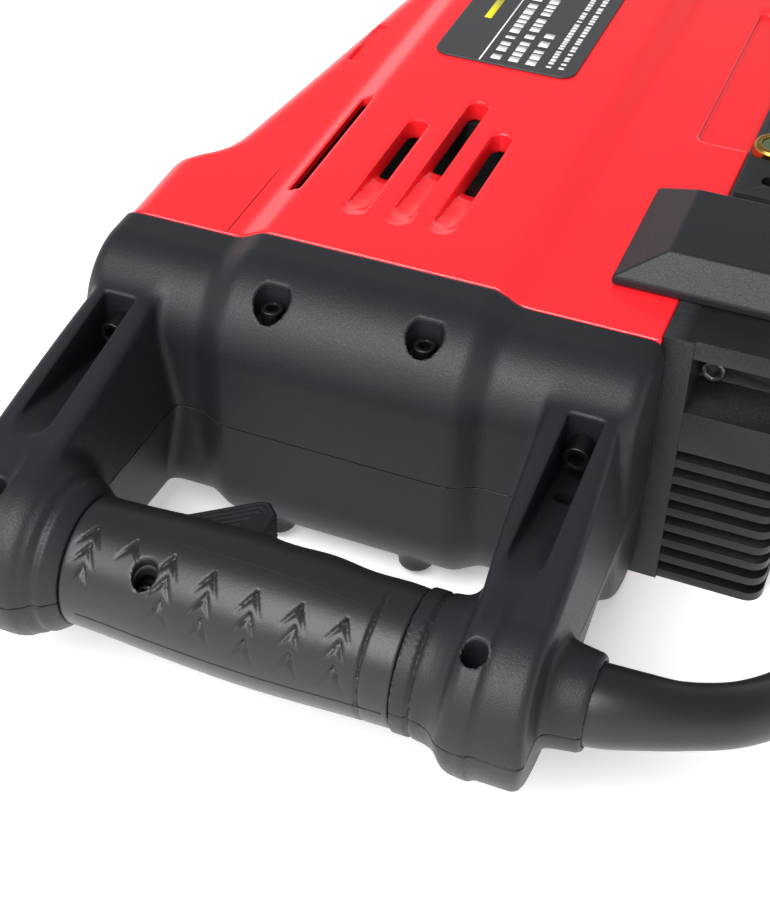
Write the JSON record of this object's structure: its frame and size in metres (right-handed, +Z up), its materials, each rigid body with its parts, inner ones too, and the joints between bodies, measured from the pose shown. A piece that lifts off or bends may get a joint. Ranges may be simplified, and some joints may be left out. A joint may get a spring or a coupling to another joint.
{
  "type": "demolition hammer",
  "caption": "Corded electric demolition hammer with a closed D-handle, red vented motor housing, black finned crank case, hex tool holder and turning side handle, lying on its side.",
  "frame": {"origin": "centre of the bottom of the box around the machine without its cord and plug, as it lies on its side", "axes": "+X forward along the hammer axis towards the chisel, +Y towards the top of the machine, +Z up, out of its right-hand side"},
  "size_m": [0.66, 0.4073, 0.117],
  "materials": {
    "red_housing": "gloss",
    "black_plastic": "satin, spark-eroded grain",
    "soft_grip": "satin",
    "cord_rubber": "satin",
    "black_casting": "semi-gloss, worn edges",
    "black_steel": "black oxide",
    "grey_steel": "satin",
    "bright_steel": "ground",
    "brass_parts": "satin",
    "copper_windings": "satin",
    "label_film": "satin"
  },
  "bodies": {
    "housing": {"motor_housing": "red_housing", "rear_shell_right": "black_plastic", "rear_shell_left": "black_plastic", "switch_body": "black_plastic", "crank_cover": "black_plastic", "grip_sleeve": "soft_grip", "nose_ring": "soft_grip", "cord_guard": "cord_rubber", "cord": "cord_rubber", "cord_coil": "cord_rubber", "plug_body": "cord_rubber", "crank_case": "black_casting", "gear_frame": "black_casting", "bearing_bridge": "black_casting", "front_housing": "black_casting", "arm_bolt_1": "black_steel", "arm_bolt_2": "black_steel", "arm_bolt_3": "black_steel", "arm_bolt_4": "black_steel", "cover_screw_1": "black_steel", "cover_screw_2": "black_steel", "cover_screw_3": "black_steel", "cover_screw_4": "black_steel", "shell_screw_grip": "black_steel", "shell_screw_low": "black_steel", "shell_screw_high": "black_steel", "case_screw": "grey_steel", "stator": "grey_steel", "tool_holder": "grey_steel", "flange_bolt_1": "grey_steel", "flange_bolt_2": "grey_steel", "flange_bolt_3": "grey_steel", "flange_bolt_4": "grey_steel", "crank_bearing": "bright_steel", "cylinder_sleeve": "bright_steel", "motor_bearing_rear": "bright_steel", "motor_bearing_front": "bright_steel", "latch_pin": "bright_steel", "oil_sight": "brass_parts", "plug_blade_low": "brass_parts", "plug_blade_high": "brass_parts", "plug_pin": "brass_parts", "brush_holder_right": "brass_parts", "brush_holder_left": "brass_parts", "label_plate": "label_film"},
    "trigger": {"trigger": "black_plastic"},
    "lock_button": {"lock_button": "red_housing"},
    "rotor": {"rotor": "copper_windings", "fan": "black_plastic"},
    "crank": {"crank_gear": "grey_steel"},
    "piston": {"piston": "grey_steel", "piston_pin": "bright_steel"},
    "con_rod": {"con_rod": "grey_steel"},
    "striker": {"striker": "grey_steel"},
    "impact_bolt": {"impact_bolt": "grey_steel"},
    "tool_latch": {"tool_latch": "black_steel"},
    "side_clamp": {"side_clamp": "black_casting"},
    "side_handle": {"side_stem": "bright_steel", "side_grip": "soft_grip"}
  },
  "joints": [
    {"name": "trigger_pull", "type": "hinge", "parent": "housing", "child": "trigger", "pos_m": [-0.28801, 0.06765, 0.054], "axis": [0, 0, -1], "range_deg": [0, 8], "stiffness_Nm_per_rad": 1, "springref_deg": -5.73},
    {"name": "lock_press", "type": "slide", "parent": "housing", "child": "lock_button", "axis": [0, 0, 1], "range_m": [0, 0.003], "stiffness_N_per_m": 300, "springref_m": -0.002},
    {"name": "rotor_spin", "type": "hinge", "parent": "housing", "child": "rotor", "pos_m": [-0.02001, 0.0365, 0.054], "axis": [1, 0, 0], "continuous": true},
    {"name": "crank_turn", "type": "hinge", "parent": "housing", "child": "crank", "pos_m": [-0.12801, -0.00135, 0.054], "axis": [0, 1, 0], "continuous": true},
    {"name": "piston_stroke", "type": "slide", "parent": "housing", "child": "piston", "axis": [1, 0, 0], "range_m": [-0.036, 0]},
    {"name": "rod_swing", "type": "hinge", "parent": "piston", "child": "con_rod", "pos_m": [-0.03201, -0.04335, 0.054], "axis": [0, 1, 0], "range_deg": [-14, 14]},
    {"name": "striker_travel", "type": "slide", "parent": "housing", "child": "striker", "axis": [1, 0, 0], "range_m": [0, 0.04]},
    {"name": "impact_bolt_travel", "type": "slide", "parent": "housing", "child": "impact_bolt", "axis": [1, 0, 0], "range_m": [-0.01, 0]},
    {"name": "latch_turn", "type": "hinge", "parent": "housing", "child": "tool_latch", "pos_m": [0.26999, -0.00435, 0.054], "axis": [0, 0, 1], "range_deg": [0, 55]},
    {"name": "clamp_turn", "type": "hinge", "parent": "housing", "child": "side_clamp", "pos_m": [0.16199, -0.04335, 0.054], "axis": [1, 0, 0], "range_deg": [0, 180]},
    {"name": "side_handle_screw", "type": "hinge", "parent": "side_clamp", "child": "side_handle", "pos_m": [0.16199, 0.07865, 0.054], "axis": [0, -1, 0], "range_deg": [0, 180]}
  ],
  "couplings": [
    {"joint": "crank_turn", "follows": "rotor_spin", "ratio": 0.16216}
  ]
}
